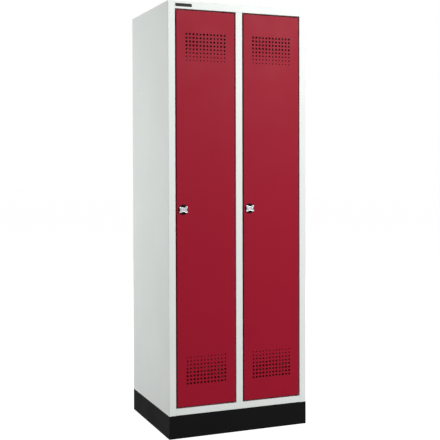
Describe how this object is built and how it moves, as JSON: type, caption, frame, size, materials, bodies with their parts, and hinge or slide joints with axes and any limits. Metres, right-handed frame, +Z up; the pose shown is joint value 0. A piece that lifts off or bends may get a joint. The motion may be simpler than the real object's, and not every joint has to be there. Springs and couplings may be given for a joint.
{
  "type": "clothing locker",
  "caption": "Steel clothing locker with tall side-by-side compartments, flush vented doors with turn latches for padlocks, hat shelves, coat rails with sliding hooks, and a plinth.",
  "frame": {"origin": "on the floor, at the middle of the footprint of the body", "axes": "+Z up, +X to the right as seen from the front, +Y from the doors to the back"},
  "size_m": [0.6324, 0.5168, 1.8],
  "materials": {
    "body_paint": "light grey powder coat, smooth, semi-gloss",
    "door_paint": "ruby red powder coat, smooth, satin",
    "plinth_paint": "black powder coat, satin",
    "knob_chrome": "bright chrome on die-cast zinc",
    "latch_base": "black moulded base and barrel",
    "rail_chrome": "bright zinc-plated oval tube",
    "zinc": "zinc-plated steel",
    "rubber": "matt black rubber",
    "black_plate": "blank black plate",
    "bush_plastic": "black nylon",
    "hook_plastic": "black moulded plastic"
  },
  "bodies": {
    "carcass": {"left_side_panel": "body_paint", "right_side_panel": "body_paint", "centre_mullion": "body_paint", "centre_partition": "body_paint", "top_panel": "body_paint", "floor_panel": "body_paint", "back_panel": "body_paint", "plinth_front": "plinth_paint", "plinth_back": "plinth_paint", "plinth_left": "plinth_paint", "plinth_right": "plinth_paint", "left_hat_shelf": "body_paint", "right_hat_shelf": "body_paint", "left_clothes_rail": "rail_chrome", "right_clothes_rail": "rail_chrome", "rail_brackets": "zinc", "shelf_rivets": "body_paint", "top_rivets": "body_paint", "upper_hinge_pins": "zinc", "lower_hinge_pins": "zinc", "door_buffers": "rubber", "name_plate": "black_plate"},
    "left_door": {"left_door_panel": "door_paint", "left_door_stiffener": "door_paint", "left_latch_plate": "zinc", "left_hinge_bushes": "bush_plastic", "left_latch_barrel": "latch_base", "left_barrel_nut": "zinc"},
    "left_latch": {"left_latch_knob": "knob_chrome", "left_latch_spindle": "zinc", "left_latch_cam": "zinc", "left_cam_screw": "zinc"},
    "right_door": {"right_door_panel": "door_paint", "right_door_stiffener": "door_paint", "right_latch_plate": "zinc", "right_hinge_bushes": "bush_plastic", "right_latch_barrel": "latch_base", "right_barrel_nut": "zinc"},
    "right_latch": {"right_latch_knob": "knob_chrome", "right_latch_spindle": "zinc", "right_latch_cam": "zinc", "right_cam_screw": "zinc"},
    "left_hook_1_slider": {"left_hook_1": "hook_plastic"},
    "left_hook_2_slider": {"left_hook_2": "hook_plastic"},
    "left_hook_3_slider": {"left_hook_3": "hook_plastic"},
    "right_hook_1_slider": {"right_hook_1": "hook_plastic"},
    "right_hook_2_slider": {"right_hook_2": "hook_plastic"},
    "right_hook_3_slider": {"right_hook_3": "hook_plastic"}
  },
  "joints": [
    {"name": "left_door_swing", "type": "hinge", "parent": "carcass", "child": "left_door", "pos_m": [-0.0285, -0.243, 0.94625], "axis": [0, 0, 1], "range_deg": [0, 110]},
    {"name": "left_latch_turn", "type": "hinge", "parent": "left_door", "child": "left_latch", "pos_m": [-0.252, -0.2518, 0.945], "axis": [0, 1, 0], "range_deg": [0, 90]},
    {"name": "right_door_swing", "type": "hinge", "parent": "carcass", "child": "right_door", "pos_m": [0.2715, -0.243, 0.94625], "axis": [0, 0, 1], "range_deg": [0, 110]},
    {"name": "right_latch_turn", "type": "hinge", "parent": "right_door", "child": "right_latch", "pos_m": [0.048, -0.2518, 0.945], "axis": [0, 1, 0], "range_deg": [0, 90]},
    {"name": "left_hook_1_slide", "type": "slide", "parent": "carcass", "child": "left_hook_1_slider", "axis": [1, 0, 0], "range_m": [-0.028, 0.028]},
    {"name": "left_hook_2_slide", "type": "slide", "parent": "carcass", "child": "left_hook_2_slider", "axis": [1, 0, 0], "range_m": [-0.028, 0.028]},
    {"name": "left_hook_3_slide", "type": "slide", "parent": "carcass", "child": "left_hook_3_slider", "axis": [1, 0, 0], "range_m": [-0.028, 0.028]},
    {"name": "right_hook_1_slide", "type": "slide", "parent": "carcass", "child": "right_hook_1_slider", "axis": [1, 0, 0], "range_m": [-0.028, 0.028]},
    {"name": "right_hook_2_slide", "type": "slide", "parent": "carcass", "child": "right_hook_2_slider", "axis": [1, 0, 0], "range_m": [-0.028, 0.028]},
    {"name": "right_hook_3_slide", "type": "slide", "parent": "carcass", "child": "right_hook_3_slider", "axis": [1, 0, 0], "range_m": [-0.028, 0.028]}
  ]
}
